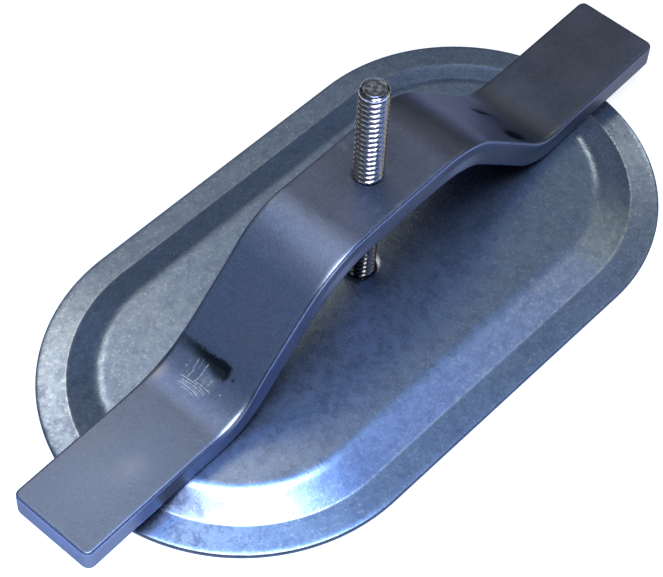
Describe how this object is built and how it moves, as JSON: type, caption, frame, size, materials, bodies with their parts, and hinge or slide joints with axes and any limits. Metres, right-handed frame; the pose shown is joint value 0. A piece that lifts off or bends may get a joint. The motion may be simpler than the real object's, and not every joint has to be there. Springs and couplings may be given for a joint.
{
  "type": "hand hole cover with clamp bar",
  "caption": "Obround pressed cover for a hand hole, held by a bent clamp bar that a bolt through the cover draws up against the inside of the wall.",
  "frame": {"origin": "middle of the cover's outline on the bolt's axis, at the height of the rim's lower edge", "axes": "+X along the cover's long axis, +Z along the bolt, out of the inner side of the cover"},
  "size_m": [0.2248, 0.1052, 0.0759],
  "materials": {
    "zinc_sheet": "galvanised, fine mottled grain, satin",
    "bar_steel": "bare hot-rolled steel, dark, satin",
    "bolt_steel": "bright stainless, threaded"
  },
  "bodies": {
    "cover": {"cover_plate": "zinc_sheet"},
    "bolt": {"clamp_bolt": "bolt_steel"},
    "bar": {"clamp_bar": "bar_steel"}
  },
  "joints": [
    {"name": "bar_travel", "type": "slide", "parent": "cover", "child": "bar", "axis": [0, 0, 1], "range_m": [0, 0.028]},
    {"name": "bolt_turn", "type": "hinge", "parent": "cover", "child": "bolt", "pos_m": [0, 0, 0.04], "axis": [0, 0, -1], "range_deg": [0, 5761]}
  ],
  "couplings": [
    {"joint": "bolt_turn", "follows": "bar_travel", "rad_per_m": 3590.4}
  ]
}
